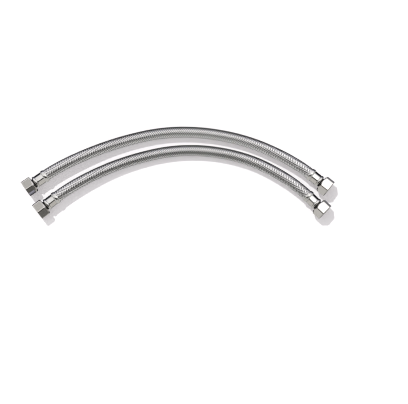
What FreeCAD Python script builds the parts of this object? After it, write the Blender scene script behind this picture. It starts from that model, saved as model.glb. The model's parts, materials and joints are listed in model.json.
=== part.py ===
"""A pair of braided stainless supply lines for a water heater, lying side by side.

Each hose is a rubber tube in a woven steel braid. At each end a brass stem with barbs is
pushed into the tube, and a steel ferrule is crimped over tube and braid. A hexagonal swivel
nut with a female pipe thread is held on the stem by the stem's flange: it turns freely and
slides back a little on the neck. A rubber gasket lies on the flange and seals the joint.

Millimetres, +Z up. Both hoses lie on z = 0, and the origin is under the middle of the
fittings. Each fitting is modelled along its own +Z axis, which runs from the mouth of the
nut (0) into the hose, and is then laid down at its end of the hose.
"""
import FreeCAD, Part
import math
import os

import Sketcher

Vector = FreeCAD.Vector
AXIS = Vector(0, 0, 1)
COS30 = math.cos(math.radians(30))

SIZES = [
    # swivel nut
    ("nut_across_flats", 30.0),
    ("nut_length", 18.0),
    ("nut_edge_round", 2.0),
    ("nut_mouth_face_diameter", 32.6),
    ("nut_back_face_diameter", 27.6),
    ("nut_back_wall", 3.0),
    ("thread_minor_diameter", 24.12),
    ("thread_end", 9.0),
    ("mouth_chamfer", 1.2),
    ("relief_depth", 1.4),
    # slip ring, flange and gasket inside the nut
    ("slip_ring_thickness", 1.2),
    ("flange_thickness", 2.3),
    ("gasket_thickness", 2.2),
    ("gasket_bore", 15.0),
    ("seat_clearance", 0.26),
    ("neck_clearance", 0.3),
    # stem
    ("neck_diameter", 17.0),
    ("waterway_diameter", 11.0),
    ("lip_groove_diameter", 14.0),
    ("lip_shoulder_diameter", 15.6),
    ("lip_shoulder_length", 1.6),
    ("barb_crest_diameter", 14.6),
    ("barb_depth", 0.6),
    ("barb_length", 4.5),
    ("tail_nose", 1.6),
    # ferrule
    ("back_play", 2.6),
    ("ferrule_wall", 1.0),
    ("ferrule_lip", 1.2),
    ("collar_diameter", 22.6),
    ("collar_length", 4.6),
    ("collar_drop", 1.0),
    ("collar_round", 3.2),
    ("crimp_groove_depth", 0.4),
    ("crimp_groove_width", 0.9),
    ("waist_length", 12.4),
    ("crimp_flat_depth", 0.45),
    ("bead_length", 7.0),
    ("bead_edge", 0.4),
    ("bead_round", 8.0),
    # hose
    ("hose_diameter", 20.7),
    ("braid_thickness", 0.7),
    ("tube_bore", 13.0),
    ("crimp_squeeze", 1.8),
    ("crimp_run", 4.0),
    ("layer_clearance", 0.05),
]
BARB_COUNT = 4
CRIMP_FLATS = 8
CORD_ARC_SHARE = 0.45

# Route of each hose's centre line, from the left ferrule to the right one, in plan.
# The first and last runs are straight on from the fittings.
ROUTES = {
    "rear": [(-240.3, 34.6), (-204.3, 60.0), (-109.0, 101.5), (-4.5, 122.0),
             (111.0, 108.5), (207.1, 65.4), (241.1, 37.6)],
    "front": [(-219.4, -5.5), (-184.9, 21.9), (-99.0, 64.0), (7.5, 87.5),
              (118.5, 73.5), (204.5, 28.1), (235.9, -2.7)],
}
# Turn of each nut about its axis, in degrees, from lying on a flat.
NUT_TURN = {"left": -13.0, "right": 6.0}
# How far a cutting sketch reaches past what it cuts.
CUT_MARGIN = 1.0


class Size:
    """A length that knows its value and the spreadsheet expression that gives it."""

    def __init__(self, text, value):
        self.text = text
        self.value = value

    def _join(self, sign, other, value):
        other_text = other.text if isinstance(other, Size) else repr(other)
        return Size("(%s %s %s)" % (self.text, sign, other_text), value)

    def __add__(self, other):
        return self._join("+", other, self.value + plain(other))

    def __sub__(self, other):
        return self._join("-", other, self.value - plain(other))

    def __mul__(self, number):
        return self._join("*", number, self.value * number)

    def __truediv__(self, number):
        return self._join("/", number, self.value / number)


def plain(length):
    """The number of millimetres in a Size or a bare number."""
    return length.value if isinstance(length, Size) else length


# ---------------------------------------------------------------- document and sheet

doc = FreeCAD.newDocument("supply_lines")
sheet = doc.addObject("Spreadsheet::Sheet", "Sizes")
size = {}
for row, (alias, number) in enumerate(SIZES, start=1):
    sheet.set("A%d" % row, alias)
    sheet.set("B%d" % row, str(number))
    sheet.setAlias("B%d" % row, alias)
    size[alias] = Size("Sizes.%s" % alias, number)
doc.recompute()


# ---------------------------------------------------------------- stations along a fitting

nut_back = size["nut_length"]
wall_face = nut_back - size["nut_back_wall"]
flange_back = wall_face - size["slip_ring_thickness"]
flange_face = flange_back - size["flange_thickness"]
gasket_face = flange_face - size["gasket_thickness"]
ferrule_front = nut_back + size["back_play"]
lip_back = ferrule_front + size["ferrule_lip"]
collar_back = ferrule_front + size["collar_length"]
waist_front = collar_back + size["crimp_groove_width"]
waist_back = waist_front + size["waist_length"]
ferrule_back = waist_back + size["bead_length"]
crimp_start = waist_back + size["ferrule_wall"]
crimp_end = crimp_start + size["crimp_run"]
shoulder_back = lip_back + size["lip_shoulder_length"]
tail_end = shoulder_back + size["barb_length"] * float(BARB_COUNT)

thread_radius = size["thread_minor_diameter"] / 2.0
relief_radius = thread_radius + size["relief_depth"]
seat_radius = thread_radius - size["seat_clearance"]
neck_radius = size["neck_diameter"] / 2.0
neck_hole_radius = neck_radius + size["neck_clearance"]
hose_radius = size["hose_diameter"] / 2.0
tube_radius = hose_radius - size["braid_thickness"]
crimped_hose_radius = hose_radius - size["crimp_squeeze"] / 2.0
crimped_tube_radius = crimped_hose_radius - size["braid_thickness"]
cavity_radius = crimped_hose_radius + size["layer_clearance"]
waist_radius = cavity_radius + size["ferrule_wall"]
bead_cavity_radius = hose_radius + size["layer_clearance"]
bead_edge_radius = bead_cavity_radius + size["bead_edge"]
crest_radius = size["barb_crest_diameter"] / 2.0
barb_bore_radius = crest_radius + size["layer_clearance"]


# ---------------------------------------------------------------- sketch and body helpers

def origin_plane(body, role):
    """One of the three planes of a body's own origin."""
    return [f for f in body.Origin.OriginFeatures if f.Role == role][0]


def bulge(start, end, radius):
    """An arc from start to end that bulges to the right of the way it goes."""
    chord = end - start
    sideways = Vector(-chord.y, chord.x, 0).normalize()
    depth = math.sqrt(radius ** 2 - (chord.Length / 2) ** 2)
    centre = (start + end) / 2 + sideways * depth
    first = math.atan2(start.y - centre.y, start.x - centre.x)
    last = math.atan2(end.y - centre.y, end.x - centre.x)
    return Part.ArcOfCircle(Part.Circle(centre, AXIS, radius), first, last)


def bind(sketch, rule, distance):
    """Adds a constraint and binds it to the spreadsheet."""
    index = sketch.addConstraint(rule)
    sketch.setExpression("Constraints[%d]" % index, distance.text)


def outline(sketch, corners):
    """Adds a closed outline to a sketch, with every corner bound to the spreadsheet.

    A corner is (x, y), or (x, y, radius) where an arc and not a line leads on from it.
    """
    count = len(corners)
    points = [Vector(plain(corner[0]), plain(corner[1]), 0) for corner in corners]
    base = sketch.GeometryCount
    for i, corner in enumerate(corners):
        start, end = points[i], points[(i + 1) % count]
        curved = len(corner) == 3
        edge = bulge(start, end, plain(corner[2])) if curved else Part.LineSegment(start, end)
        sketch.addGeometry(edge, False)
    for i in range(count):
        following = base + (i + 1) % count
        sketch.addConstraint(Sketcher.Constraint("Coincident", base + i, 2, following, 1))
    for i, corner in enumerate(corners):
        for kind, distance, axis in (("DistanceX", corner[0], -2), ("DistanceY", corner[1], -1)):
            if isinstance(distance, Size):
                bind(sketch, Sketcher.Constraint(kind, -1, 1, base + i, 1, distance.value),
                     distance)
            else:
                sketch.addConstraint(Sketcher.Constraint("PointOnObject", base + i, 1, axis))
        if len(corner) == 3:
            bind(sketch, Sketcher.Constraint("Radius", base + i, corner[2].value), corner[2])


def sketch_on(body, role, name):
    """A new sketch on one of the body's origin planes."""
    sketch = body.newObject("Sketcher::SketchObject", name)
    sketch.AttachmentSupport = [(origin_plane(body, role), "")]
    sketch.MapMode = "FlatFace"
    return sketch


def turned(body, kind, name, corners):
    """A Revolution or a Groove of a profile of (radius, station) corners about the axis."""
    sketch = sketch_on(body, "XZ_Plane", name + "_profile")
    outline(sketch, corners)
    feature = body.newObject("PartDesign::" + kind, name)
    feature.Profile = sketch
    feature.ReferenceAxis = (sketch, ["V_Axis"])
    feature.Angle = 360.0
    doc.recompute()
    return feature


def round_edges(body, name, radius, wanted):
    """A fillet of one radius on every edge of the body's tip for which wanted(edge) holds."""
    tip = body.Tip
    edges = ["Edge%d" % (i + 1) for i, edge in enumerate(tip.Shape.Edges) if wanted(edge)]
    feature = body.newObject("PartDesign::Fillet", name)
    feature.Base = (tip, edges)
    feature.setExpression("Radius", radius.text)
    doc.recompute()
    return feature


def new_body(label):
    """A new body that carries its node's name."""
    body = doc.addObject("PartDesign::Body", label)
    body.Label = label
    return body


# ---------------------------------------------------------------- the pieces of one fitting

def swivel_nut(label):
    """A hexagonal nut with rounded edges, eased at the mouth and chamfered at the back."""
    body = new_body(label)
    apothem = size["nut_across_flats"] / 2.0
    corner = apothem / COS30
    half_side = corner / 2.0
    hexagon = sketch_on(body, "XY_Plane", label + "_hexagon")
    outline(hexagon, [(apothem, half_side), (0.0, corner), (apothem * -1.0, half_side),
                      (apothem * -1.0, half_side * -1.0), (0.0, corner * -1.0),
                      (apothem, half_side * -1.0)])
    pad = body.newObject("PartDesign::Pad", label + "_block")
    pad.Profile = hexagon
    pad.setExpression("Length", size["nut_length"].text)
    doc.recompute()
    round_edges(body, label + "_edges", size["nut_edge_round"],
                lambda edge: edge.tangentAt(edge.FirstParameter).cross(AXIS).Length < 1e-6)

    mouth_face = size["nut_mouth_face_diameter"] / 2.0
    back_face = size["nut_back_face_diameter"] / 2.0
    outside = corner + CUT_MARGIN
    mouth_drop = (outside - mouth_face) * math.tan(math.radians(30))
    turned(body, "Groove", label + "_front_chamfer",
           [(mouth_face, 0.0), (outside, 0.0), (outside, mouth_drop)])
    turned(body, "Groove", label + "_back_chamfer",
           [(back_face, nut_back), (outside, nut_back),
            (outside, nut_back - outside + back_face)])

    mouth_radius = thread_radius + size["mouth_chamfer"]
    turned(body, "Groove", label + "_bore",
           [(0.0, 0.0), (mouth_radius, 0.0), (thread_radius, size["mouth_chamfer"]),
            (thread_radius, size["thread_end"]), (relief_radius, size["thread_end"]),
            (relief_radius, wall_face), (neck_hole_radius, wall_face),
            (neck_hole_radius, nut_back), (0.0, nut_back)])
    return body


def slip_ring(label):
    """A nylon washer that lets the nut turn against the flange."""
    body = new_body(label)
    turned(body, "Revolution", label + "_ring",
           [(neck_hole_radius, flange_back), (seat_radius, flange_back),
            (seat_radius, wall_face), (neck_hole_radius, wall_face)])
    return body


def gasket(label):
    """A flat rubber washer on the face of the flange."""
    body = new_body(label)
    inner = size["gasket_bore"] / 2.0
    turned(body, "Revolution", label + "_ring",
           [(inner, gasket_face), (seat_radius, gasket_face),
            (seat_radius, flange_face), (inner, flange_face)])
    return body


def stem(label):
    """Flange, neck, groove that the ferrule's lip closes on, shoulder and barbed tail."""
    body = new_body(label)
    bore = size["waterway_diameter"] / 2.0
    lip_groove = size["lip_groove_diameter"] / 2.0
    shoulder = size["lip_shoulder_diameter"] / 2.0
    root = crest_radius - size["barb_depth"]
    corners = [(bore, flange_face), (seat_radius, flange_face), (seat_radius, flange_back),
               (neck_radius, flange_back), (neck_radius, ferrule_front),
               (lip_groove, ferrule_front), (lip_groove, lip_back),
               (shoulder, lip_back), (shoulder, shoulder_back)]
    station = shoulder_back
    for _ in range(BARB_COUNT):
        corners.append((root, station))
        corners.append((crest_radius, station))
        station = station + size["barb_length"]
    corners.append((root, tail_end))
    corners.append((root - size["barb_depth"], tail_end + size["tail_nose"]))
    corners.append((bore, tail_end + size["tail_nose"]))
    turned(body, "Revolution", label + "_turning", corners)
    return body


def ferrule(label):
    """A drawn steel sleeve: collar over the neck, crimped waist, swollen bead at the back."""
    body = new_body(label)
    collar_edge = size["collar_diameter"] / 2.0 - size["collar_drop"]
    groove = waist_radius - size["crimp_groove_depth"]
    lip_hole = size["lip_groove_diameter"] / 2.0 + size["layer_clearance"]
    turned(body, "Revolution", label + "_sleeve",
           [(lip_hole, ferrule_front), (collar_edge, ferrule_front, size["collar_round"]),
            (collar_edge, collar_back), (groove, collar_back), (groove, waist_front),
            (waist_radius, waist_front), (waist_radius, waist_back),
            (waist_radius + size["bead_edge"], waist_back, size["bead_round"]),
            (bead_edge_radius, ferrule_back), (bead_cavity_radius, ferrule_back),
            (bead_cavity_radius, crimp_start), (cavity_radius, crimp_start),
            (cavity_radius, lip_back), (lip_hole, lip_back)])

    flat = waist_radius - size["crimp_flat_depth"]
    half_angle = math.pi / CRIMP_FLATS
    corner = flat / math.cos(half_angle)
    press = sketch_on(body, "XY_Plane", label + "_press")
    press.AttachmentOffset = FreeCAD.Placement(Vector(0, 0, plain(waist_front)),
                                               FreeCAD.Rotation())
    press.setExpression("AttachmentOffset.Base.z", waist_front.text)
    angles = [half_angle * (2 * i + 1) for i in range(CRIMP_FLATS)]
    outline(press, [(corner * math.cos(a), corner * math.sin(a)) for a in angles])
    outer = waist_radius + CUT_MARGIN
    outline(press, [(outer * -1.0, outer * -1.0), (outer, outer * -1.0),
                    (outer, outer), (outer * -1.0, outer)])
    pocket = body.newObject("PartDesign::Pocket", label + "_crimp")
    pocket.Profile = press
    pocket.Reversed = True
    pocket.setExpression("Length", size["waist_length"].text)
    doc.recompute()
    return body


# ---------------------------------------------------------------- where the fittings lie

def axis_height(side):
    """Height of a fitting's axis when the nut's lowest point is on z = 0."""
    edge_round = plain(size["nut_edge_round"])
    flat = plain(size["nut_across_flats"]) / 2 - edge_round
    off_corner = math.radians(30 - abs(NUT_TURN[side]))
    return flat * math.cos(off_corner) / COS30 + edge_round


def route_points(hose):
    """The route in space: level through each fitting, then down to lie on z = 0."""
    plan = ROUTES[hose]
    heights = [plain(hose_radius)] * len(plan)
    heights[:2] = [axis_height("left")] * 2
    heights[-2:] = [axis_height("right")] * 2
    return [Vector(x, y, z) for (x, y), z in zip(plan, heights)]


def fitting_placement(hose, side, turn=0.0):
    """Lays a fitting down so that its back face is at its end of the route."""
    points = route_points(hose)
    if side == "right":
        points.reverse()
    inward = (points[1] - points[0]).normalize()
    heading = math.degrees(math.atan2(inward.y, inward.x))
    lay_down = FreeCAD.Rotation(AXIS, heading) * FreeCAD.Rotation(Vector(0, 1, 0), 90)
    rotation = lay_down * FreeCAD.Rotation(AXIS, turn)
    return FreeCAD.Placement(points[0] - inward * plain(ferrule_back), rotation)


# ---------------------------------------------------------------- the hose itself

def cord_path(hose):
    """Straight runs joined by tangent arcs, each as large as its two runs allow."""
    points = route_points(hose)
    edges = []
    radii = []
    start = points[0]
    for before, corner, after in zip(points, points[1:], points[2:]):
        run_in = corner - before
        run_out = after - corner
        half_turn = run_in.getAngle(run_out) / 2
        tangent = CORD_ARC_SHARE * min(run_in.Length, run_out.Length)
        radius = tangent / math.tan(half_turn)
        arc_start = corner - run_in.normalize() * tangent
        arc_end = corner + run_out.normalize() * tangent
        to_centre = (run_out - run_in).normalize()
        middle = corner + to_centre * (radius / math.cos(half_turn) - radius)
        edges.append(Part.makeLine(start, arc_start))
        edges.append(Part.Arc(arc_start, middle, arc_end).toShape())
        radii.append(radius)
        start = arc_end
    edges.append(Part.makeLine(start, points[-1]))
    path = Part.Wire(edges)
    print("%s: length %.1f mm, arc radii %s mm, smallest %.1f diameters"
          % (hose, path.Length, [round(r) for r in radii],
             min(radii) / plain(size["hose_diameter"])))
    return path


def ring_face(centre, normal, outer, inner):
    """A flat ring across the path."""
    rim = Part.Wire(Part.makeCircle(outer, centre, normal))
    hole = Part.Wire(Part.makeCircle(inner, centre, normal))
    return Part.Face(rim).cut(Part.Face(hole)).Faces[0]


def hose_layer(label, hose, path, outer, inner, end_profile):
    """One layer of a hose: a tube along the path, with a crimped end in each ferrule."""
    start = path.Edges[0]
    ring = ring_face(start.firstVertex(True).Point, start.tangentAt(start.FirstParameter),
                     plain(outer), plain(inner))
    tube = path.makePipe(ring)
    expected = ring.Area * path.Length
    print("%s: volume is %.5f of section times length" % (label, tube.Volume / expected))
    ends = []
    for side in ("left", "right"):
        corners = [Vector(plain(r), 0, plain(s)) for r, s in end_profile]
        section = Part.Face(Part.makePolygon(corners + corners[:1]))
        end = section.revolve(Vector(0, 0, 0), AXIS, 360)
        end.Placement = fitting_placement(hose, side)
        ends.append(end)
    feature = doc.addObject("Part::Feature", label)
    feature.Label = label
    feature.Shape = tube.fuse(ends).removeSplitter()
    return feature


def wire_braid(label, hose, path):
    """The woven sleeve, as a plain layer."""
    return hose_layer(label, hose, path, hose_radius, tube_radius,
                      [(crimped_tube_radius, shoulder_back), (crimped_hose_radius, shoulder_back),
                       (crimped_hose_radius, crimp_start), (hose_radius, crimp_end),
                       (hose_radius, ferrule_back), (tube_radius, ferrule_back),
                       (tube_radius, crimp_end), (crimped_tube_radius, crimp_start)])


def inner_tube(label, hose, path):
    """The rubber tube, opened out over the barbs."""
    bore_radius = size["tube_bore"] / 2.0
    tail_back = tail_end + size["tail_nose"] + size["layer_clearance"]
    return hose_layer(label, hose, path, tube_radius, bore_radius,
                      [(barb_bore_radius, shoulder_back), (crimped_tube_radius, shoulder_back),
                       (crimped_tube_radius, crimp_start), (tube_radius, crimp_end),
                       (tube_radius, ferrule_back), (bore_radius, ferrule_back),
                       (barb_bore_radius, tail_back)])


# ---------------------------------------------------------------- assembly

FITTING_PIECES = {"swivel_nut": swivel_nut, "slip_ring": slip_ring, "gasket": gasket,
                  "stem": stem, "ferrule": ferrule}
pieces = []
for hose in ROUTES:
    for side in ("left", "right"):
        for name, make in FITTING_PIECES.items():
            piece = make("%s_%s_%s" % (hose, side, name))
            turn = NUT_TURN[side] if name == "swivel_nut" else 0.0
            piece.Placement = fitting_placement(hose, side, turn)
            pieces.append(piece)
    path = cord_path(hose)
    pieces.append(wire_braid(hose + "_wire_braid", hose, path))
    pieces.append(inner_tube(hose + "_inner_tube", hose, path))
doc.recompute()

for thing in doc.Objects:
    if "Invalid" in thing.State or "Error" in thing.State:
        raise RuntimeError("%s did not compute: %s" % (thing.Label, thing.State))
for piece in pieces:
    if piece.Shape.isNull() or not piece.Shape.isValid():
        raise RuntimeError("%s has no valid shape" % piece.Label)
    if len(piece.Shape.Solids) != 1:
        raise RuntimeError("%s is %d solids" % (piece.Label, len(piece.Shape.Solids)))

fittings = Part.Compound([p.Shape for p in pieces if p.TypeId == "PartDesign::Body"])
fittings = fittings.optimalBoundingBox(False, False)
print("fittings' box: %.2f..%.2f, %.2f..%.2f, %.2f..%.2f"
      % (fittings.XMin, fittings.XMax, fittings.YMin, fittings.YMax,
         fittings.ZMin, fittings.ZMax))

os.makedirs("parts", exist_ok=True)
for piece in pieces:
    piece.Shape.exportStep(os.path.join("parts", piece.Label + ".step"))
print("%d pieces written" % len(pieces))
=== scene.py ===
# %% [markdown]
# # A pair of braided supply lines
#
# Two flexible water hoses lie side by side in shallow arches. Each is a rubber tube in a
# sleeve of woven steel wire, with a crimped steel ferrule and a hexagonal swivel nut at
# both ends. The nuts, ferrules, stems, rings and gaskets come from the CAD model and only
# get their finishes here. The woven sleeve, the tube under it and the nuts' screw threads
# are made here, because they repeat or follow a path, and so is a thin black sleeve on
# every neck, which paints the shade in the gap behind each nut.

# %% Load the CAD model
import json
import math

import bpy
from mathutils import Matrix, Vector


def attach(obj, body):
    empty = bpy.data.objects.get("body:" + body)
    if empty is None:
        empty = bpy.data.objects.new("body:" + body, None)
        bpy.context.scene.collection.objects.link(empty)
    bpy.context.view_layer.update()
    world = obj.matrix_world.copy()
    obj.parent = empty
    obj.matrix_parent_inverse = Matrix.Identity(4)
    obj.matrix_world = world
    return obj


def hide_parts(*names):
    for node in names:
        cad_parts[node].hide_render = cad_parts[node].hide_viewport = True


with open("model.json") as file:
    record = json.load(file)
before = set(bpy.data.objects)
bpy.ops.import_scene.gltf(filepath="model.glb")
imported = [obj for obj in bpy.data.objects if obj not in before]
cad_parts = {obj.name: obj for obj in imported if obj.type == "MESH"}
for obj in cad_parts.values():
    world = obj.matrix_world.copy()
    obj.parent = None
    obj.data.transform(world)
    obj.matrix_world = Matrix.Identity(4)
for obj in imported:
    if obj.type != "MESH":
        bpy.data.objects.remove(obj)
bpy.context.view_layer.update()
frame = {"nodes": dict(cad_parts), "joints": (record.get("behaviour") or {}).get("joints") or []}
scene = bpy.context.scene
MM = 0.001
HOSES = ("rear", "front")
SIDES = ("left", "right")
print("CAD pieces:", len(frame["nodes"]))


# %% [markdown]
# ## Small helpers
#
# Every node tree below, for a shape or for a finish, is put together with one function
# that adds a node, sets its properties and fills its inputs. An input is given a value, an
# output of another node, or the node itself where its first output is meant.

# %% Helpers for node trees
MATHS = "ShaderNodeMath"
VECTORS = "ShaderNodeVectorMath"
MIX = "ShaderNodeMix"
RANGE = "ShaderNodeMapRange"
NOISE = "ShaderNodeTexNoise"
# A Mix node has inputs and an output for each kind of data. These are those for colours.
COLOUR_A, COLOUR_B, COLOUR_OUT = 6, 7, 2


def fill(tree, made, inputs):
    """Gives a node's inputs their values or links."""
    for key, value in inputs.items():
        if isinstance(value, bpy.types.Node):
            value = value.outputs[0]
        if isinstance(value, bpy.types.NodeSocket):
            tree.links.new(value, made.inputs[key])
        else:
            made.inputs[key].default_value = value


def node(tree, kind, inputs=None, **settings):
    """Adds a node with its settings, and fills its inputs with values or links."""
    made = tree.nodes.new(kind)
    for name, value in settings.items():
        setattr(made, name, value)
    fill(tree, made, inputs or {})
    return made


# %% [markdown]
# Colours are written as the usual hex values, and one function turns them to the linear
# light that Blender works in. The other two start a material and an object.

# %% Helpers for colours, materials and objects
def hex_colour(text):
    """Linear RGBA from an sRGB hex value such as "#C8C6C1"."""
    parts = [int(text[i:i + 2], 16) / 255 for i in (1, 3, 5)]
    linear = [p / 12.92 if p <= 0.04045 else ((p + 0.055) / 1.055) ** 2.4 for p in parts]
    return (*linear, 1.0)


def new_material(name):
    """A material, its node tree, and the shader in it."""
    material = bpy.data.materials.new(name)
    material.use_nodes = True
    return material, material.node_tree, material.node_tree.nodes["Principled BSDF"]


def new_object(name, data):
    """An object at the origin, linked to the scene."""
    made = bpy.data.objects.new(name, data)
    scene.collection.objects.link(made)
    return made


# %% [markdown]
# ## Camera
#
# The camera looks almost straight down, from 80 degrees above the floor on the near side,
# and from about two metres away, so the perspective is slight. It aims a little to the
# right of the hoses' middle, which leaves more empty floor on that side.

# %% Camera
CAMERA_TARGET = Vector((0.0480, -0.0124, 0.0))
CAMERA_ELEVATION = math.radians(80.0)
CAMERA_DISTANCE = 2.0185
VIEW_WIDTH = 0.7487

camera = new_object("camera", bpy.data.cameras.new("camera"))
towards_camera = Vector((0.0, -math.cos(CAMERA_ELEVATION), math.sin(CAMERA_ELEVATION)))
camera.location = CAMERA_TARGET + towards_camera * CAMERA_DISTANCE
camera.rotation_euler = (math.pi / 2 - CAMERA_ELEVATION, 0.0, 0.0)
camera.data.sensor_width = 36.0
camera.data.lens = camera.data.sensor_width * CAMERA_DISTANCE / VIEW_WIDTH
scene.camera = camera
print("lens: %.1f mm" % camera.data.lens)


# %% [markdown]
# ## The line of each hose
#
# A hose is a cord: it has a fixed length, and everything woven around it follows its
# middle. The route runs from the back of the left ferrule to the back of the right one.
# It is level and straight where it leaves a ferrule, sinks to lie on the floor and rises
# again to the other ferrule. A few given points say all of that.

# %% Routes of the hoses
HOSE_RADIUS = 10.35 * MM
# Height of the fittings' axes at either end, where the nuts just touch the floor.
LEFT_HEIGHT = 16.3552 * MM
RIGHT_HEIGHT = 15.7133 * MM

ROUTES = {
    "rear": [(-0.2403, 0.0346, LEFT_HEIGHT), (-0.2109, 0.0553, LEFT_HEIGHT),
             (-0.1100, 0.0988, HOSE_RADIUS), (-0.0045, 0.1208, HOSE_RADIUS),
             (0.1110, 0.1074, HOSE_RADIUS), (0.2101, 0.0629, RIGHT_HEIGHT),
             (0.2411, 0.0376, RIGHT_HEIGHT)],
    "front": [(-0.2194, -0.0055, LEFT_HEIGHT), (-0.1912, 0.0169, LEFT_HEIGHT),
              (-0.1000, 0.0616, HOSE_RADIUS), (0.0075, 0.0864, HOSE_RADIUS),
              (0.1185, 0.0725, HOSE_RADIUS), (0.2074, 0.0253, RIGHT_HEIGHT),
              (0.2359, -0.0027, RIGHT_HEIGHT)],
}


# %% [markdown]
# ## From a route to a curve
#
# Straight runs from point to point would kink, and between straight runs and arcs the bend
# would start all at once. A NURBS spline is only pulled towards its control points, so it is
# smooth by itself and still starts and ends exactly at the outer two. The points of the
# finished curve are kept too, because the cords and the studio's flags follow them.

# %% Centre lines
def centre_line(name, points):
    """A smooth open NURBS curve that starts and ends at its outer control points."""
    curve = bpy.data.curves.new(name, "CURVE")
    curve.dimensions = "3D"
    spline = curve.splines.new("NURBS")
    spline.points.add(len(points) - 1)
    for control, place in zip(spline.points, points):
        control.co = (*place, 1.0)
    spline.order_u = 3
    spline.use_endpoint_u = True
    spline.resolution_u = 24
    return new_object(name, curve)


def points_along(line):
    """The points of a curve's own line, in order."""
    mesh = bpy.data.meshes.new_from_object(line)
    found = [v.co.copy() for v in mesh.vertices]
    bpy.data.meshes.remove(mesh)
    return found


centre_lines = {}
line_points = {}
line_lengths = {}
for hose in HOSES:
    centre_lines[hose] = centre_line(hose + "_centre_line", ROUTES[hose])
    line_points[hose] = points_along(centre_lines[hose])
    line_lengths[hose] = sum((b - a).length
                             for a, b in zip(line_points[hose], line_points[hose][1:]))
    print(hose, "line: %.1f mm" % (line_lengths[hose] / MM))


# %% [markdown]
# ## The braid, laid out flat
#
# A braiding machine winds 24 flat bundles of fine steel wires around the tube, twelve to
# the right and twelve to the left, and each bundle passes over two others and then under
# two. At 54.7 degrees to the axis the sleeve neither swells nor shortens under pressure,
# so hose makers use that angle.
#
# Modelling the bundles one by one would be endless, and a bump on a plain tube has no
# depth at the outline. But unrolled, the braid is only straight strips turned by the braid
# angle one way or the other, so the strips are a job for Geometry Nodes.

# %% Sizes of the braid
BUNDLES = 24
BRAID_ANGLE = math.radians(54.7)
BUNDLE_WIDTH = 2.45 * MM
BUNDLE_CROWN = 0.22 * MM
WEAVE_LIFT = 0.20 * MM
# The crowns of the bundles on top end at the hose's own radius.
MIDDLE_RADIUS = HOSE_RADIUS - WEAVE_LIFT - BUNDLE_CROWN
# Around the hose, between neighbours of the same hand.
BUNDLE_SPACING = 2 * math.tau * MIDDLE_RADIUS / BUNDLES
# How far the bundles go on inside either ferrule.
TUCKED_IN = 4.0 * MM
POINTS_PER_CROSSING = 3
POINTS_ACROSS = 5

crossing_run = BUNDLE_SPACING / 2 / math.sin(BRAID_ANGLE)
print("bundles cross every %.2f mm along a strip" % (crossing_run / MM))


# %% [markdown]
# ## Strips side by side
#
# The first part of the node tree makes one straight strip and copies it for every bundle.
# Each copy is leant by the braid angle to its own hand's side and moved to its place
# around the hose, still flat. A loop in Python could do the same, but in a tree the
# number, width and angle of the bundles stay inputs that can be tried out.

# %% Node tree, first part: flat strips
def flat_strips(tree, given, hose_length):
    """Copies one strip for every bundle, and says where its points are on the flat braid."""
    strip = node(tree, "GeometryNodeMeshGrid",
                 {"Size X": given["Strip length"], "Size Y": given["Bundle width"],
                  "Vertices X": given["Points along"], "Vertices Y": given["Points across"]})
    mapped = node(tree, "GeometryNodeStoreNamedAttribute",
                  {"Geometry": strip, "Name": "UVMap", "Value": strip.outputs["UV Map"]},
                  data_type="FLOAT2", domain="CORNER")
    one = node(tree, "GeometryNodeGeometryToInstance", {0: mapped})
    copies = node(tree, "GeometryNodeDuplicateElements",
                  {"Geometry": one, "Amount": given["Bundles"]}, domain="INSTANCE")
    strips = node(tree, "GeometryNodeRealizeInstances", {0: copies})

    # Every second strip belongs to the other hand, so half its index, rounded down, is its
    # number within its hand.
    index = copies.outputs["Duplicate Index"]
    odd = node(tree, MATHS, {0: index, 1: 2.0}, operation="MODULO")
    hand = node(tree, MATHS, {0: odd, 1: -2.0, 2: 1.0}, operation="MULTIPLY_ADD")
    half = node(tree, MATHS, {0: index, 1: 0.5}, operation="MULTIPLY")
    number = node(tree, MATHS, {0: half}, operation="FLOOR")

    lean = node(tree, MATHS, {0: hand, 1: given["Braid angle"]}, operation="MULTIPLY")
    position = node(tree, "GeometryNodeInputPosition")
    leaning = node(tree, "ShaderNodeVectorRotate", {"Vector": position, "Angle": lean},
                   rotation_type="Z_AXIS")
    flat = node(tree, "ShaderNodeSeparateXYZ", {0: leaning}).outputs
    along = node(tree, MATHS, {0: hose_length, 1: 0.5, 2: flat["X"]}, operation="MULTIPLY_ADD")
    around = node(tree, MATHS, {0: number, 1: given["Spacing"], 2: flat["Y"]},
                  operation="MULTIPLY_ADD")
    return strips, hand, number, lean, flat["X"], along, around


# %% [markdown]
# ## Over two, under two
#
# Where a strip is on the flat braid also says which strip of the other hand it is
# crossing. Its own number plus that number grows by one from crossing to crossing, so a
# cosine with a period of four crossings is high over two and low under two. The strips of
# the other hand use the same wave upside down, and the two never meet.

# %% Node tree, second part: height of the weave
# The wave is made this many times too high and cut off at full height: level tops.
OVERSHOOT = 1.35


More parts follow.
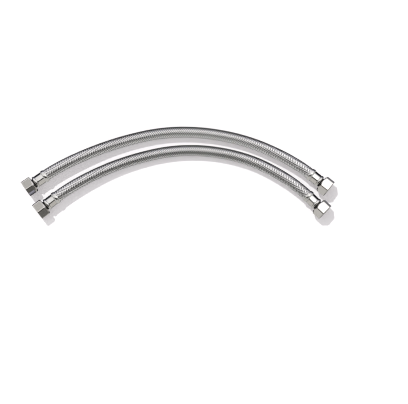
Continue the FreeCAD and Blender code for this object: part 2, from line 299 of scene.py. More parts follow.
def height_of_weave(tree, given, hand, number, lean, from_middle, around):
    """Distance of a bundle's surface from the centre line."""
    slope = node(tree, MATHS, {0: lean}, operation="TANGENT")
    level = node(tree, MATHS, {0: slope, 1: from_middle, 2: around},
                 operation="MULTIPLY_ADD")
    crossed = node(tree, MATHS, {0: level, 1: given["Spacing"]}, operation="DIVIDE")
    both = node(tree, MATHS, {0: number, 1: crossed}, operation="ADD")
    # A quarter of a period for every crossing, with the top halfway between two of them.
    phase = node(tree, MATHS, {0: both, 1: math.pi / 2, 2: -math.pi / 4},
                 operation="MULTIPLY_ADD")
    wave = node(tree, MATHS, {0: phase}, operation="COSINE")
    too_high = node(tree, MATHS, {0: wave, 1: OVERSHOOT}, operation="MULTIPLY")
    flat_topped = node(tree, "ShaderNodeClamp", {0: too_high, 1: -1.0, 2: 1.0})
    this_hand = node(tree, MATHS, {0: flat_topped, 1: hand}, operation="MULTIPLY")
    woven = node(tree, MATHS, {0: this_hand, 1: given["Lift"], 2: given["Middle radius"]},
                 operation="MULTIPLY_ADD")

    # A bundle bulges: 1 along its middle, and 0 at its edges half a width away.
    position = node(tree, "GeometryNodeInputPosition")
    sideways = node(tree, "ShaderNodeSeparateXYZ", {0: position}).outputs["Y"]
    part = node(tree, MATHS, {0: sideways, 1: given["Bundle width"]}, operation="DIVIDE")
    squared = node(tree, MATHS, {0: part, 1: 2.0}, operation="POWER")
    bow = node(tree, MATHS, {0: squared, 1: -4.0, 2: 1.0}, operation="MULTIPLY_ADD")
    distance = node(tree, MATHS, {0: bow, 1: given["Crown"], 2: woven},
                    operation="MULTIPLY_ADD")
    return this_hand, distance


# %% [markdown]
# ## Around the line
#
# A point of the flat braid knows how far along the hose and how far around it belongs.
# The first distance picks a place on the centre line, and the second is an angle about
# it. Past either end of the line the strips go straight on, into the ferrule.

# %% Node tree, third part: winding around the line
def wound_around(tree, given, line, length, along, around, distance):
    """The place in space of a point of the flat braid."""
    on_line = node(tree, "ShaderNodeClamp", {0: along, 1: 0.0, 2: length})
    beyond = node(tree, MATHS, {0: along, 1: on_line}, operation="SUBTRACT")
    sample = node(tree, "GeometryNodeSampleCurve", {"Curves": line, "Length": on_line},
                  mode="LENGTH", use_all_curves=True)
    ahead = sample.outputs["Tangent"]
    overshoot = node(tree, VECTORS, {0: ahead, "Scale": beyond}, operation="SCALE")
    centre = node(tree, VECTORS, {0: sample.outputs["Position"], 1: overshoot}, operation="ADD")
    level = node(tree, VECTORS, {0: ahead, 1: (0.0, 0.0, 1.0)}, operation="CROSS_PRODUCT")
    sideways = node(tree, VECTORS, {0: level}, operation="NORMALIZE")
    turn = node(tree, MATHS, {0: around, 1: given["Middle radius"]}, operation="DIVIDE")
    outward = node(tree, "ShaderNodeVectorRotate",
                   {"Vector": sideways, "Axis": ahead, "Angle": turn},
                   rotation_type="AXIS_ANGLE", invert=True)
    reach = node(tree, VECTORS, {0: outward, "Scale": distance}, operation="SCALE")
    return node(tree, VECTORS, {0: centre, 1: reach}, operation="ADD")


# %% [markdown]
# ## The whole sleeve
#
# The three parts make up one tree. Its inputs have names, so both hoses use the same tree
# with centre lines of their own. The height of the weave is stored on the points, because
# the painted shade of the wires asks for it, and the tree ends in plain geometry that wears
# its material.

# %% The whole braid tree
def new_tree(name, sizes):
    """An empty Geometry Nodes tree with named inputs, given as (name, socket type)."""
    tree = bpy.data.node_groups.new(name, "GeometryNodeTree")
    tree.interface.new_socket("Geometry", in_out="OUTPUT", socket_type="NodeSocketGeometry")
    for label, kind in sizes:
        tree.interface.new_socket(label, in_out="INPUT", socket_type="NodeSocket" + kind)
    return tree, node(tree, "NodeGroupInput").outputs


def braid_tree():
    """Winds a sleeve of flat wire bundles around a centre line."""
    tree, given = new_tree("woven_sleeve", (
        ("Centre line", "Object"), ("Bundles", "Int"), ("Braid angle", "Float"),
        ("Spacing", "Float"), ("Strip length", "Float"), ("Points along", "Int"),
        ("Bundle width", "Float"), ("Points across", "Int"), ("Crown", "Float"),
        ("Middle radius", "Float"), ("Lift", "Float"), ("Finish", "Material")))
    line = node(tree, "GeometryNodeObjectInfo",
                {"Object": given["Centre line"]}).outputs["Geometry"]
    length = node(tree, "GeometryNodeCurveLength", {0: line})
    strips, hand, number, lean, from_middle, along, around = flat_strips(
        tree, given, length)
    raised, distance = height_of_weave(tree, given, hand, number, lean, from_middle, around)
    place = wound_around(tree, given, line, length, along, around, distance)
    marked = node(tree, "GeometryNodeStoreNamedAttribute",
                  {"Geometry": strips, "Name": "raised", "Value": raised},
                  data_type="FLOAT", domain="POINT")
    wound = node(tree, "GeometryNodeSetPosition", {"Geometry": marked, "Position": place})
    smooth = node(tree, "GeometryNodeSetShadeSmooth", {"Geometry": wound})
    whole = node(tree, "GeometryNodeRealizeInstances", {0: smooth})
    finished = node(tree, "GeometryNodeSetMaterial",
                    {"Geometry": whole, "Material": given["Finish"]})
    node(tree, "NodeGroupOutput", {0: finished})
    return tree


# %% [markdown]
# ## From a node tree to a plain mesh
#
# A modifier's inputs are set through the sockets' identifiers before the object is
# evaluated for the first time. The result is kept as an ordinary mesh, and the modifier
# goes with the object that carried it, so that nothing depends on node trees later.

# %% Running a tree
def from_nodes(name, tree, values):
    """Runs a Geometry Nodes tree with the given inputs and returns a plain mesh object."""
    maker = new_object(name + "_maker", bpy.data.meshes.new(name + "_maker"))
    modifier = maker.modifiers.new("shape", "NODES")
    modifier.node_group = tree
    for item in tree.interface.items_tree:
        if item.in_out == "INPUT":
            modifier[item.identifier] = values[item.name]
    bpy.context.view_layer.update()
    evaluated = maker.evaluated_get(bpy.context.evaluated_depsgraph_get())
    made = new_object(name, bpy.data.meshes.new_from_object(evaluated))
    made.data.name = name
    bpy.data.objects.remove(maker)
    return made


# %% [markdown]
# ## Painted shade of the braid
#
# Little light gets down between two bundles, so shade is painted into a strip at its two
# edges and wherever it dips under another. The strip's UV map says where its edges are,
# and the tree that raised it has written down how high it is as the attribute "raised".

# %% Painted shade of the braid
def painted_shade_of_braid(tree, across):
    """Painted shade: 1 at the edges of a bundle and where it dips under others, else 0."""
    # The bundle's width runs from 0 to 1, so its edges are 0.5 off the middle.
    off_middle = node(tree, MATHS, {0: across, 1: 0.5}, operation="SUBTRACT")
    edge = node(tree, MATHS, {0: off_middle}, operation="ABSOLUTE")
    shade = node(tree, RANGE, {"Value": edge, "From Min": 0.30, "From Max": 0.46})
    raised = node(tree, "ShaderNodeAttribute", attribute_name="raised").outputs["Fac"]
    sunken = node(tree, RANGE, {"Value": raised, "From Min": 0.4, "From Max": -0.6})
    return node(tree, MATHS, {0: shade, 1: sunken}, operation="MAXIMUM")


# %% [markdown]
# ## Finish of the wires
#
# The wires are bright-drawn stainless steel, 0.3 mm thick. Side by side in a bundle they
# act as a brushed metal: a highlight spreads across the wires and stays narrow along
# them. So the shader is anisotropic, and its direction, taken from the UV map, is turned a
# quarter round. Grooves along the strip stand for the gaps between its wires, and handling
# leaves slightly duller clouds on them.

# %% Bright-drawn stainless wire
WIRES_IN_BUNDLE = 8
GROOVE_DEPTH = 0.06 * MM
CLOUD_SIZE = 9 * MM
QUARTER_TURN = 0.25


def drawn_wire():
    """Stainless wires laid side by side: grey, streaky along the wires, painted dark in the
    gaps.
    """
    material, tree, metal = new_material("bright_drawn_stainless_wire")
    uv = node(tree, "ShaderNodeUVMap", uv_map="UVMap")
    across = node(tree, "ShaderNodeSeparateXYZ", {0: uv}).outputs["Y"]
    turn = node(tree, MATHS, {0: across, 1: WIRES_IN_BUNDLE * math.pi}, operation="MULTIPLY")
    wave = node(tree, MATHS, {0: turn}, operation="SINE")
    wires = node(tree, MATHS, {0: wave}, operation="ABSOLUTE")
    bump = node(tree, "ShaderNodeBump", {"Height": wires, "Distance": GROOVE_DEPTH,
                                         "Strength": 0.5})
    place = node(tree, "ShaderNodeTexCoord").outputs["Object"]
    handled = node(tree, NOISE, {"Vector": place, "Scale": 1 / CLOUD_SIZE, "Detail": 2.0})
    bright = node(tree, MIX, {"Factor": handled, COLOUR_A: hex_colour("#EFEEED"),
                              COLOUR_B: hex_colour("#DFDEDC")}, data_type="RGBA")
    # Painted shade: the colour goes nearly black at a bundle's edges and where it dips under
    # another.
    colour = node(tree, MIX, {"Factor": painted_shade_of_braid(tree, across),
                              COLOUR_A: bright.outputs[COLOUR_OUT],
                              COLOUR_B: hex_colour("#302F2D")}, data_type="RGBA")
    rough = node(tree, RANGE, {"Value": handled, "To Min": 0.42, "To Max": 0.52})
    along = node(tree, "ShaderNodeTangent", direction_type="UV_MAP", uv_map="UVMap")
    fill(tree, metal, {"Base Color": colour.outputs[COLOUR_OUT], "Metallic": 0.95,
                       "Roughness": rough, "Anisotropic": 0.6,
                       "Anisotropic Rotation": QUARTER_TURN, "Tangent": along,
                       "Normal": bump})
    return material


# %% [markdown]
# ## Rubber
#
# The tube is extruded rubber, and the gaskets are moulded from it; the black neck sleeves,
# which paint the shade behind the nuts, wear the gaskets' rubber. All are dull and nearly
# black, with a fine grain and a trace of pale release powder, so the base is not pure
# black and the roughness is uneven.

# %% Black rubber
# A cloud of powder is this many grains wide.
CLOUD_GRAINS = 20


def black_rubber(name, body, powder, grain):
    """Rubber: dull near-black, with a fine grain and faint powdery clouds."""
    material, tree, rubber = new_material(name)
    place = node(tree, "ShaderNodeTexCoord").outputs["Object"]
    fine = node(tree, NOISE, {"Vector": place, "Scale": 1 / grain, "Detail": 3.0})
    clouds = node(tree, NOISE, {"Vector": place, "Scale": 1 / (CLOUD_GRAINS * grain)})
    colour = node(tree, MIX, {"Factor": clouds, COLOUR_A: hex_colour(body),
                              COLOUR_B: hex_colour(powder)}, data_type="RGBA")
    rough = node(tree, RANGE, {"Value": fine, "To Min": 0.55, "To Max": 0.8})
    bump = node(tree, "ShaderNodeBump", {"Height": fine, "Distance": 0.05 * MM,
                                         "Strength": 0.4})
    fill(tree, rubber, {"Base Color": colour.outputs[COLOUR_OUT], "Roughness": rough,
                        "IOR": 1.52, "Normal": bump})
    return material


# %% [markdown]
# ## Weaving both sleeves
#
# A bundle that leans by the braid angle is longer than the hose it covers, by one over the
# cosine of that angle. The real wires go on inside the ferrules, which clamp them, so the
# strips do too and no end of a wire shows. Three points from one crossing to the next are
# enough for a round wave, and more would only make the mesh heavy.

# %% Weave the sleeves
wire_finish = drawn_wire()
braid = braid_tree()
for hose in HOSES:
    strip_length = (line_lengths[hose] + 2 * TUCKED_IN) / math.cos(BRAID_ANGLE)
    sleeve = from_nodes(hose + "_woven_sleeve", braid, {
        "Centre line": centre_lines[hose], "Bundles": BUNDLES, "Braid angle": BRAID_ANGLE,
        "Spacing": BUNDLE_SPACING, "Strip length": strip_length,
        "Points along": math.ceil(POINTS_PER_CROSSING * strip_length / crossing_run),
        "Bundle width": BUNDLE_WIDTH, "Points across": POINTS_ACROSS, "Crown": BUNDLE_CROWN,
        "Middle radius": MIDDLE_RADIUS, "Lift": WEAVE_LIFT, "Finish": wire_finish})
    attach(sleeve, hose + "_hose")
    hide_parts(hose + "_wire_braid")
    print(sleeve.name, len(sleeve.data.polygons), "faces")


# %% [markdown]
# ## The tube under the braid
#
# Between the bundles a little of the black rubber tube shows. It has no detail of its own,
# so the centre line with a round bevel is enough. The braid lies on it, and both are
# attached to the hose's body.

# %% Tubes under the braids
BRAID_THICKNESS = 0.7 * MM
TUBE_RADIUS = HOSE_RADIUS - BRAID_THICKNESS
tube_rubber = black_rubber("extruded_tube_rubber", "#141414", "#2A2928", 0.4 * MM)
for hose in HOSES:
    tube = centre_lines[hose]
    tube.name = hose + "_rubber_tube"
    tube.data.bevel_depth = TUBE_RADIUS
    tube.data.bevel_resolution = 6
    tube.data.use_fill_caps = True
    tube.data.materials.append(tube_rubber)
    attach(tube, hose + "_hose")
    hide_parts(hose + "_inner_tube")
    print(tube.name, "radius: %.2f mm" % (TUBE_RADIUS / MM))


# %% [markdown]
# ## Where the fittings are
#
# Tool marks, threads and the dark neck sleeves line up with the axis of their fitting. Every
# nut spins about that axis, so the CAD model's joints say where it starts, at the nut's
# mouth, and which way it points. Reading this from the joints is safer than writing the
# numbers down a second time.

# %% Mouth and heading of every fitting
joints = {joint["name"]: joint for joint in frame["joints"]}
fittings = {}
for hose in HOSES:
    for side in SIDES:
        spin = joints["%s_%s_nut_spin" % (hose, side)]
        inward = -Vector(spin["axis"])
        heading = math.atan2(inward.y, inward.x)
        fittings[hose + "_" + side] = (Vector(spin["pos_m"]), heading)
        print(hose, side, "heading: %.1f degrees" % math.degrees(heading))


# %% [markdown]
# ## Edges of worked metal
#
# An edge differs from the faces beside it: tumbling leaves it brighter on the ferrules and
# stems, and on the nuts it is painted dark, as painted shade for the reflection along their
# rounded corners. The edges could be painted on the UV map of every piece, but a Bevel
# node finds them by itself, because its rounded normal is not the true one there.

# %% Finding the edges
def find_edges(tree, width):
    """The normal with rounded edges, and how much of an edge a place is, up to 0.8."""
    rounded = node(tree, "ShaderNodeBevel", {"Radius": width}, samples=8)
    true_normal = node(tree, "ShaderNodeNewGeometry").outputs["True Normal"]
    alike = node(tree, VECTORS, {0: rounded, 1: true_normal},
                 operation="DOT_PRODUCT").outputs["Value"]
    # An edge begins where the two normals are 8 degrees apart and is full at 32 degrees.
    on_edge = node(tree, RANGE, {"Value": alike, "From Min": 0.99, "From Max": 0.85,
                                 "To Max": 0.8})
    return rounded, on_edge


# %% [markdown]
# ## Worked metal
#
# The nuts, ferrules and stems are three metals that were worked along or around the
# fitting's axis, and the tool's fine lines stay in the surface. So all three share one
# recipe: noise stretched into lines, in coordinates that start at the nut's mouth and run
# along the fitting. Real lines are finer, but they wouldn't show at all.

# %% One recipe for worked metal
STAIN_SIZE = 14 * MM


def worked_metal(name, fitting, colours, grain, roughness, depth, edge=0.4 * MM):
    """Metal with tool lines. colours: main, streaks, edges. grain: size of a line along
    the fitting and around it. roughness: lowest and highest. depth: of the lines. edge:
    width of an edge."""
    mouth, heading = fittings[fitting]
    material, tree, metal = new_material(name + "_" + fitting)
    place = node(tree, "ShaderNodeTexCoord").outputs["Object"]
    along_fitting = node(tree, "ShaderNodeMapping",
                         {"Vector": place, "Location": mouth, "Rotation": (0, 0, heading),
                          "Scale": (grain[0], grain[1], grain[1])}, vector_type="TEXTURE")
    lines = node(tree, NOISE, {"Vector": along_fitting, "Scale": 1.0, "Detail": 3.0})
    stains = node(tree, NOISE, {"Vector": place, "Scale": 1 / STAIN_SIZE, "Detail": 1.0})
    uneven = node(tree, MIX, {"Factor": 0.5, "A": lines, "B": stains})
    streaks = node(tree, RANGE, {"Value": uneven, "From Min": 0.35, "From Max": 0.65})
    rounded, on_edge = find_edges(tree, edge)
    body = node(tree, MIX, {"Factor": streaks, COLOUR_A: hex_colour(colours[0]),
                            COLOUR_B: hex_colour(colours[1])}, data_type="RGBA")
    # An edge takes the third colour. On the nuts it is dark grey: painted shade for the
    # reflection along their rounded corners.
    colour = node(tree, MIX, {"Factor": on_edge, COLOUR_A: body.outputs[COLOUR_OUT],
                              COLOUR_B: hex_colour(colours[2])}, data_type="RGBA")
    rough = node(tree, RANGE, {"Value": uneven, "From Min": 0.3, "From Max": 0.7,
                               "To Min": roughness[0], "To Max": roughness[1]})
    bump = node(tree, "ShaderNodeBump", {"Height": lines, "Distance": depth,
                                         "Strength": 0.12, "Normal": rounded})
    fill(tree, metal, {"Base Color": colour.outputs[COLOUR_OUT], "Metallic": 1.0,
                       "Roughness": rough, "Normal": bump})
    return material


def finish_piece(piece, material):
    """Gives a CAD piece its material in every slot."""
    for slot in frame["nodes"][piece].material_slots:
        slot.material = material


# %% [markdown]
# ## Nickel-plated nuts
#
# The nuts are hot-forged brass, cut to size, polished and plated with bright nickel, which
# is a slightly warm silver. The CAD model calls the plating chrome, which looks nearly the
# same. Polishing runs along the nut, so its faint lines do too. The broad edges between
# the faces are painted dark grey: painted shade for the reflection along the rounded corners.

# %% Nuts
nickel = {}
for fitting in fittings:
    # Painted shade: the dark third colour goes on the broad rounded edges between the faces.
    nickel[fitting] = worked_metal("bright_nickel_plate", fitting,
                                   colours=("#CBC8C3", "#C4C1BC", "#6A6661"),
                                   grain=(6.0 * MM, 0.25 * MM), roughness=(0.10, 0.18),
                                   depth=0.01 * MM, edge=1.8 * MM)
    finish_piece(fitting + "_swivel_nut", nickel[fitting])
print("nickel-plated nuts:", len(nickel))


# %% [markdown]
# ## Pipe threads
#
# A nut screws onto a 3/4 inch pipe with 14 threads to the inch. The CAD model bores it
# plain, at the size of the thread's crests, so here a ridge winds along the bore and
# stands for them.

# %% Sizes of a thread
INCH = 25.4 * MM
THREAD_PITCH = INCH / 14
THREAD_START = 1.6 * MM
THREAD_RUN = 7.0 * MM
# As the CAD model bores it.
BORE_RADIUS = 12.06 * MM
RIDGE_HEIGHT = 0.22 * MM
RIDGE_WIDTH = 1.1 * MM
POINTS_PER_TURN = 48
print("a thread has %.1f turns" % (THREAD_RUN / THREAD_PITCH))


# %% [markdown]
# A thread repeats by a rule, so Geometry Nodes make it: a spiral, a small diamond swept
# along it so that one corner points inwards, and a turn into the nut.

# %% Node tree of a thread
def thread_tree():
    """Winds a ridge along the inside of a bore."""
    tree, given = new_tree("pipe_thread", (
        ("Mouth", "Vector"), ("Turn", "Vector"), ("Start", "Float"), ("Run", "Float"),
        ("Pitch", "Float"), ("Bore radius", "Float"), ("Ridge height", "Float"),
        ("Ridge width", "Float"), ("Finish", "Material")))
    turns = node(tree, MATHS, {0: given["Run"], 1: given["Pitch"]}, operation="DIVIDE")
    spiral = node(tree, "GeometryNodeCurveSpiral",
                  {"Resolution": POINTS_PER_TURN, "Rotations": turns,
                   "Height": given["Run"], "Start Radius": given["Bore radius"],
                   "End Radius": given["Bore radius"]})
    # The diamond must not twist on its way round, so the curve's normals stay level.
    upright = node(tree, "GeometryNodeSetCurveNormal", {"Curve": spiral}, mode="Z_UP")
    start = node(tree, "ShaderNodeCombineXYZ", {"Z": given["Start"]})
    placed = node(tree, "GeometryNodeTransform", {"Geometry": upright, "Translation": start})
    half = node(tree, MATHS, {0: given["Ridge width"], 1: 0.5}, operation="MULTIPLY")
    size = node(tree, "ShaderNodeCombineXYZ", {"X": given["Ridge height"], "Y": half,
                                               "Z": 1.0})
    # A circle of four points is a diamond.
    diamond = node(tree, "GeometryNodeCurvePrimitiveCircle", {"Resolution": 4,
                                                              "Radius": 1.0})
    profile = node(tree, "GeometryNodeTransform", {"Geometry": diamond, "Scale": size})
    ridge = node(tree, "GeometryNodeCurveToMesh", {"Curve": placed, "Profile Curve": profile,
                                                   "Fill Caps": True})
    seated = node(tree, "GeometryNodeTransform", {"Geometry": ridge, "Rotation": given["Turn"],
                                                  "Translation": given["Mouth"]})
    whole = node(tree, "GeometryNodeRealizeInstances", {0: seated})
    finished = node(tree, "GeometryNodeSetMaterial",
                    {"Geometry": whole, "Material": given["Finish"]})
    node(tree, "NodeGroupOutput", {0: finished})
    return tree


# %% [markdown]
# ## A thread in every nut
#
# The tree winds a thread around an upright axis. A quarter turn lays it down, and a second
# turn by the fitting's heading points it into the nut. It is a piece of its own that turns
# and slides with the nut, and it wears the nut's own plating.

# %% Thread the nuts
thread = thread_tree()
for fitting, (mouth, heading) in fittings.items():
    ridge = from_nodes(fitting + "_thread", thread, {
        "Mouth": mouth, "Turn": (0.0, math.pi / 2, heading), "Start": THREAD_START,
        "Run": THREAD_RUN, "Pitch": THREAD_PITCH, "Bore radius": BORE_RADIUS,
        "Ridge height": RIDGE_HEIGHT, "Ridge width": RIDGE_WIDTH,
        "Finish": nickel[fitting]})
    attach(ridge, fitting + "_nut")
    print(ridge.name, len(ridge.data.polygons), "faces")


# %% [markdown]
# ## Stainless ferrules
#
# A ferrule is deep-drawn from stainless sheet and polished while it turns, which leaves
# fine rings around it. Then eight jaws press its waist flat. The steel is bright, with a
# cooler grey than nickel, and tumbling has left its edges a little brighter.

# %% Ferrules
for fitting in fittings:
    steel = worked_metal("deep_drawn_stainless", fitting,
                         colours=("#C8C8C5", "#BAB9B5", "#D8D8D6"),
                         grain=(0.15 * MM, 5.0 * MM), roughness=(0.14, 0.26),
                         depth=0.01 * MM)
    finish_piece(fitting + "_ferrule", steel)
    print(steel.name)


# %% [markdown]
# ## Brass stems
#
# The stems are turned from brass rod and left unplated, because only the water sees them.
# The lathe leaves rings around them.

# %% Stems
for fitting in fittings:
    brass = worked_metal("turned_brass", fitting,
                         colours=("#C9A866", "#B79455", "#DBC08A"),
                         grain=(0.2 * MM, 6.0 * MM), roughness=(0.2, 0.35),
                         depth=0.02 * MM)
    finish_piece(fitting + "_stem", brass)
    print(brass.name)


# %% [markdown]
# ## Slip rings and gaskets
#
# The slip ring between nut and flange is moulded nylon in its natural, milky white: light
# goes a little way into it, so it gets some subsurface scattering. The gasket is moulded
# black rubber, like the tube but with a coarser grain.

# %% Nylon and gasket rubber
def natural_nylon():
    """Moulded nylon: milky, satin, a little translucent."""
    material, tree, nylon = new_material("moulded_natural_nylon")
    place = node(tree, "ShaderNodeTexCoord").outputs["Object"]
    clouds = node(tree, NOISE, {"Vector": place, "Scale": 1 / (2 * MM)})
    colour = node(tree, MIX, {"Factor": clouds, COLOUR_A: hex_colour("#E4E0D2"),
                              COLOUR_B: hex_colour("#D6D1C2")}, data_type="RGBA")
    rough = node(tree, RANGE, {"Value": clouds, "To Min": 0.35, "To Max": 0.5})
    fill(tree, nylon, {"Base Color": colour.outputs[COLOUR_OUT], "Roughness": rough,
                       "IOR": 1.53, "Subsurface Weight": 0.3, "Subsurface Scale": 1.0 * MM})
    return material


nylon_finish = natural_nylon()
gasket_rubber = black_rubber("moulded_gasket_rubber", "#060606", "#151414", 0.6 * MM)
for fitting in fittings:
    finish_piece(fitting + "_slip_ring", nylon_finish)
    finish_piece(fitting + "_gasket", gasket_rubber)
print("moulded:", nylon_finish.name, "and", gasket_rubber.name)


# %% [markdown]
# ## Dark sleeves on the necks
#
# The gap between nut and ferrule lies in shade, and a thin black rubber sleeve on the neck
# paints that shade. It is so thin that the nut slides over it. A sleeve is a short tube
# with rounded ends, so its cross-section is turned around the fitting's axis.

# %% Turned sleeves
# Corners of the section in mm: (distance behind the mouth, radius). The neck has 8.5.
SLEEVE_PROFILE = [(15.3, 8.52), (15.2, 8.60), (15.35, 8.74), (20.45, 8.74), (20.55, 8.60),
                  (20.45, 8.52)]
STEPS_AROUND = 96


def turned(name, fitting, profile):
    """A closed ring: the profile turned around the axis of a fitting."""
    mouth, heading = fittings[fitting]
    place = Matrix.Translation(mouth) @ Matrix.Rotation(heading, 4, "Z")
    corners, faces = [], []
    for step in range(STEPS_AROUND):
        angle = math.tau * step / STEPS_AROUND
        for station, radius in profile:
            corner = Vector((station, radius * math.cos(angle), radius * math.sin(angle)))
            corners.append(place @ (corner * MM))
    size = len(profile)
    for step in range(STEPS_AROUND):
        here, after = step * size, (step + 1) % STEPS_AROUND * size
        faces += [(here + i, here + (i + 1) % size, after + (i + 1) % size, after + i)
                  for i in range(size)]
    mesh = bpy.data.meshes.new(name)
    mesh.from_pydata(corners, [], faces)
    mesh.polygons.foreach_set("use_smooth", [True] * len(faces))
    return new_object(name, mesh)


# Painted shade: each neck gets a black sleeve where the gap behind its nut lies in shade.
for fitting in fittings:
    neck_shade_sleeve = turned(fitting + "_neck_sleeve", fitting, SLEEVE_PROFILE)
    neck_shade_sleeve.data.materials.append(gasket_rubber)
    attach(neck_shade_sleeve, fitting.split("_")[0] + "_hose")
    print(neck_shade_sleeve.name, len(neck_shade_sleeve.data.polygons), "faces")


# %% [markdown]
# ## Floor
#
# The hoses lie on a sheet of matt white paper. In the light that gives the metal its
# contrast the paper alone would come out light grey, so where the camera sees it, and only
# there, a little glow lifts it to white. The glow lights nothing and no metal mirrors it.

# %% Floor
SEEN_FLOOR_GLOW = 0.3
FLOOR_REACH = 6.0
# Just under the lowest points of nuts and hoses, so that no two faces coincide.
FLOOR_LEVEL = -0.05 * MM


def white_paper():
    """Matt white paper. Where the camera sees it, it gets a little white added."""
    material, tree, paper = new_material("matt_white_paper")
    camera_ray = node(tree, "ShaderNodeLightPath").outputs["Is Camera Ray"]
    glow = node(tree, MATHS, {0: camera_ray, 1: SEEN_FLOOR_GLOW}, operation="MULTIPLY")
    fill(tree, paper, {"Base Color": hex_colour("#E8E8E8"), "Roughness": 0.9,
                       "Specular IOR Level": 0.0, "Emission Color": hex_colour("#FFF7FC"),
                       "Emission Strength": glow})
    return material


mesh = bpy.data.meshes.new("floor")
mesh.from_pydata([(x * FLOOR_REACH, y * FLOOR_REACH, FLOOR_LEVEL)
                  for x, y in ((-1, -1), (1, -1), (1, 1), (-1, 1))], [], [(0, 1, 2, 3)])
mesh.materials.append(white_paper())
floor = new_object("floor", mesh)
print("floor: %.0f m square" % (2 * FLOOR_REACH))


# %% [markdown]
# ## Light
#
# The room around the table is white. It lights matt surfaces at about half its strength,
# so that shadows stay clear, and is full white where it is seen or mirrored.

# %% World
LIGHT_OF_ROOM = 0.55
SEEN_ROOM = 1.0

world = bpy.data.worlds.new("studio")
scene.world = world
world.use_nodes = True
tree = world.node_tree
path = node(tree, "ShaderNodeLightPath").outputs
direct = node(tree, MATHS, {0: path["Is Camera Ray"], 1: path["Is Glossy Ray"]},
              operation="MAXIMUM")
seen = node(tree, MATHS, {0: direct, 1: path["Is Transmission Ray"]}, operation="MAXIMUM")
strength = node(tree, RANGE, {"Value": seen, "To Min": LIGHT_OF_ROOM, "To Max": SEEN_ROOM})
fill(tree, tree.nodes["Background"], {"Color": hex_colour("#FFFFFF"),
                                      "Strength": strength})
print("the room lights matt surfaces at", LIGHT_OF_ROOM)


# %% [markdown]
# The key lamp is high on the left behind the hoses and throws their short shadow to the
# near right side. It is small, for a crisp edge, and nothing mirrors it, because that
# would only put white specks on the wires.

# %% Key lamp
KEY_STRENGTH = 1.9
KEY_FROM = Vector((-0.85, 1.17, 2.2))

key = new_object("key_lamp", bpy.data.lights.new("key_lamp", "SUN"))
key.data.energy = KEY_STRENGTH
key.data.angle = math.radians(2.0)
key.rotation_euler = KEY_FROM.to_track_quat("Z", "Y").to_euler()
key.visible_glossy = False
print("key lamp: %.0f degrees above the floor"
      % (90 - math.degrees(KEY_FROM.angle(Vector((0.0, 0.0, 1.0))))))


# %% [markdown]
# ## What the metal mirrors
#
# Polished metal shows the room around it and not itself, so the room is furnished like a
# studio. All its furniture is cards that glow, each with a ramp of brightness along its
# own UV map.

# %% Light of a card
WHITE_FRONT = 0.8


def graded_light(tree, levels, graded, one_sided):
    """Light that follows the levels, or that does so on the back and is white in front."""
    uv = node(tree, "ShaderNodeUVMap", uv_map="UVMap")
    place = node(tree, "ShaderNodeSeparateXYZ", {0: uv}).outputs["UV".index(graded)]
    ramp = node(tree, "ShaderNodeValToRGB", {0: place})
    stops = ramp.color_ramp.elements
    while len(stops) < len(levels):
        stops.new(1.0)
    while len(stops) > len(levels):
        stops.remove(stops[-1])
    for stop, (position, brightness, tint) in zip(stops, levels):
        stop.position = position
        stop.color = [brightness * c for c in hex_colour(tint)[:3]] + [1.0]
    shine = node(tree, "ShaderNodeEmission", {"Color": ramp})
    if not one_sided:
        return shine
    back = node(tree, "ShaderNodeNewGeometry").outputs["Backfacing"]
    white = node(tree, "ShaderNodeEmission", {"Strength": WHITE_FRONT})
    return node(tree, "ShaderNodeMixShader", {0: back, 1: white, 2: shine})


# %% [markdown]
# A card is a strip of flat faces, hidden from every kind of ray but mirrored ones. So it
# lights nothing, throws no shadow, and the camera doesn't see it.

# %% Cards
def card(name, corners, levels, graded="U", one_sided=False):
    """A panel that only reflections see. corners: lower and upper edge in turn. levels:
    (place from 0 to 1, brightness, tint) along the panel (U) or up it (V). one_sided:
    the levels show on the back only, and the front is white."""
    material, tree, shader = new_material(name)
    tree.nodes.remove(shader)
    shine = graded_light(tree, levels, graded, one_sided)
    fill(tree, tree.nodes["Material Output"], {"Surface": shine})
    mesh = bpy.data.meshes.new(name)
    mesh.from_pydata(corners, [], [(i, i + 1, i + 3, i + 2)
                                   for i in range(0, len(corners) - 2, 2)])
    places = mesh.uv_layers.new(name="UVMap").data
    columns = len(corners) / 2 - 1
    for loop in mesh.loops:
        column, row = divmod(loop.vertex_index, 2)
        places[loop.index].uv = (column / columns, row)
    mesh.materials.append(material)
    panel = new_object(name, mesh)
    for ray in ("camera", "diffuse", "transmission", "volume_scatter", "shadow"):
        setattr(panel, "visible_" + ray, False)


# %% [markdown]
# A hose is a long cylinder, so what it mirrors changes only around it. A large half pipe
# over the table therefore sets its whole shading: bright behind and overhead, black from
# just in front of overhead down to the near side, and grey at the foot.

# %% The tunnel
TUNNEL_RADIUS = 3.0
TUNNEL_HALF_LENGTH = 6.0
TUNNEL_STEPS = 90
# Angle in front of straight up, brightness and tint.
TUNNEL_LEVELS = ((-90, 1.58, "#F6F4FA"), (4, 1.58, "#F7F5F6"), (12, 0.02, "#E8E4D4"),
                 (40, 0.05, "#E8E4D4"), (75, 0.08, "#E8E4D4"), (79, 0.23, "#FFFFFF"),
                 (90, 0.27, "#FFFFFF"))
corners = []
for step in range(TUNNEL_STEPS + 1):
    angle = math.radians(180 * step / TUNNEL_STEPS - 90)
    corners += [(x, -TUNNEL_RADIUS * math.sin(angle), TUNNEL_RADIUS * math.cos(angle))
                for x in (-TUNNEL_HALF_LENGTH, TUNNEL_HALF_LENGTH)]
card("studio_tunnel", corners, [((angle + 90) / 180, brightness, tint)
                                for angle, brightness, tint in TUNNEL_LEVELS])
print("tunnel:", TUNNEL_STEPS, "strips")


# %% [markdown]
# A nut's flat faces each mirror one place, so they get cards of their own. A softbox over
# the right-hand end burns the nuts there out to white, and a grey card calms the ones on
# the left.

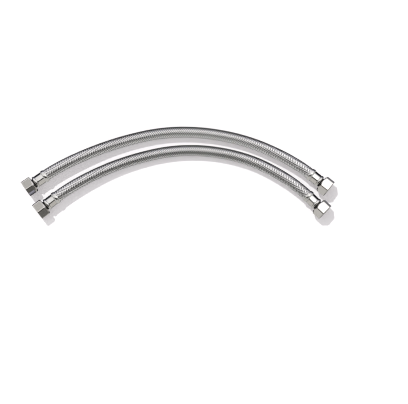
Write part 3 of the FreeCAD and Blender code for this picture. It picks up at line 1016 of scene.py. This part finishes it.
# %% Softbox and grey card
# Reach in x and in y and height, in metres, and brightness.
PANELS = {"softbox_right": ((0.10, 1.0), (0.2, 0.75), 1.4, 2.4),
          "grey_card_left": ((-1.15, -0.6), (0.55, 1.15), 1.2, 0.72)}
for name, (reach_x, reach_y, height, brightness) in PANELS.items():
    card(name, [(x, y, height) for x in reach_x for y in reach_y],
         [(0.0, brightness, "#FFFFFF")])
    print(name, "at a height of", height, "m")


# %% [markdown]
# ## Black flags and white cards
#
# A bright object on a bright floor has no outline of its own. So low black flags stand
# close behind every hose and every nut, and the rounded far sides mirror them as a thin
# dark line. Others stand across each neck and each ferrule and give them dark bands. All
# stand on the floor, so one helper makes the corners of a flag that follows a line, and
# another those of a flag at a fitting.

# %% Places on the floor
def beside(points, distance, height):
    """Corners of an upright strip that follows a line, at a distance on its left."""
    found = []
    for before, after in zip(points, points[1:]):
        ahead = (after - before).normalized()
        sideways = Vector((-ahead.y, ahead.x, 0.0)) * distance
        for place in (before, after):
            foot = place + sideways
            found += [(foot.x, foot.y, 0.0), (foot.x, foot.y, height)]
    return found


def on_axis(fitting, station, sideways=0.0):
    """A point so far behind a fitting's mouth, and so far to the left of its axis."""
    mouth, heading = fittings[fitting]
    ahead = Vector((math.cos(heading), math.sin(heading), 0.0))
    return mouth + ahead * station + Vector((-ahead.y, ahead.x, 0.0)) * sideways


def upright(fitting, places, height):
    """Corners of an upright panel over two places, each (station, sideways) on an axis."""
    feet = [on_axis(fitting, *place) for place in places]
    return [(foot.x, foot.y, z) for foot in feet for z in (0.0, height)]


# %% [markdown]
# The flags behind a hose and a nut are black at the foot and fade to white at the top, so
# the dark line has a soft edge. The nuts under the softbox need only grey ones. Most of
# these flags are white on the other side, because the next hose would mirror a black one
# as well.

# %% Flags behind hoses and nuts
FLAG_HEIGHT = 28.0 * MM
HOSE_FLAG_DISTANCE = 12.0 * MM
NUT_FLAG_DISTANCE = 19.0 * MM
# Distances behind the mouth: a hose's flag begins after the nut, which has its own.
HOSE_FLAG_START = 20.0 * MM
NUT_FLAG_ENDS = (-2.0 * MM, 19.0 * MM)
FLAG_LEVELS = [(0.0, 0.0, "#E8E8FF"), (0.80, 0.01, "#E8E8FF"), (1.0, 0.8, "#E8E8FF")]
GREY_FLAG_LEVELS = [(0.0, 0.18, "#F4F4FF"), (0.75, 0.26, "#F4F4FF"), (1.0, 0.9, "#F4F4FF")]

for hose in HOSES:
    left, right = (on_axis("%s_%s" % (hose, side), HOSE_FLAG_START) for side in SIDES)
    card("flag_behind_%s_hose" % hose,
         beside([left, *line_points[hose], right], HOSE_FLAG_DISTANCE, FLAG_HEIGHT),
         FLAG_LEVELS, graded="V", one_sided=True)
    # The way into a left-hand fitting has the far side on its left, and the way into a
    # right-hand one has it on its right.
    first, last = NUT_FLAG_ENDS
    card("flag_behind_%s_left_nut" % hose,
         upright(hose + "_left", [(first, NUT_FLAG_DISTANCE), (last, NUT_FLAG_DISTANCE)],
                 FLAG_HEIGHT), FLAG_LEVELS, graded="V")
    card("flag_behind_%s_right_nut" % hose,
         upright(hose + "_right", [(last, -NUT_FLAG_DISTANCE), (first, -NUT_FLAG_DISTANCE)],
                 FLAG_HEIGHT), GREY_FLAG_LEVELS, graded="V", one_sided=True)
    print("flags behind the %s hose and its nuts" % hose)


# %% [markdown]
# A flag across the near side of a neck keeps the gap behind the nut dark, and one through
# a ferrule separates its waist from its bead. The near side of a ferrule would mirror only
# the dark part of the tunnel, so a white card stands there for it to mirror instead.

# %% Flags across the fittings, and white cards before the ferrules
# The side of a fitting's axis that faces the table's front edge: left is 1, right is -1.
FRONT = {"left": -1, "right": 1}
# Distance behind the mouth, reach in front of the axis, and height.
CROSS_FLAGS = {"neck": (20.0 * MM, (9.0 * MM, 24.0 * MM), 20.0 * MM),
               "ferrule": (38.5 * MM, (-24.0 * MM, 24.0 * MM), 30.0 * MM)}
FERRULE_ENDS = (22.0 * MM, 47.0 * MM)
WHITE_CARD_DISTANCE = 20.0 * MM
WHITE_CARD_HEIGHT = 36.0 * MM

for fitting in fittings:
    front = FRONT[fitting.split("_")[1]]
    for part, (station, reach, height) in CROSS_FLAGS.items():
        # From left to right, so that the black side faces the fitting's mouth.
        places = sorted(((station, front * edge) for edge in reach), reverse=True)
        card("flag_across_%s_%s" % (fitting, part), upright(fitting, places, height),
             [(0.0, 0.01, "#FFFFFF")], one_sided=True)
    before = [(station, front * WHITE_CARD_DISTANCE) for station in FERRULE_ENDS]
    card("white_card_before_%s_ferrule" % fitting,
         upright(fitting, before, WHITE_CARD_HEIGHT), [(0.0, 0.85, "#FFFAF7")])
    print("flags and card at", fitting)


# %% [markdown]
# ## Colours and crispness
#
# The Standard view transform shows a hex colour as it was written, where the default one
# would dull white and bright metal. A filter blends the samples of the finished render, and
# a slightly narrower one than usual keeps the weave crisp.

# %% Colour handling
scene.view_settings.view_transform = "Standard"
scene.cycles.filter_width = 1.15
print("view transform:", scene.view_settings.view_transform)
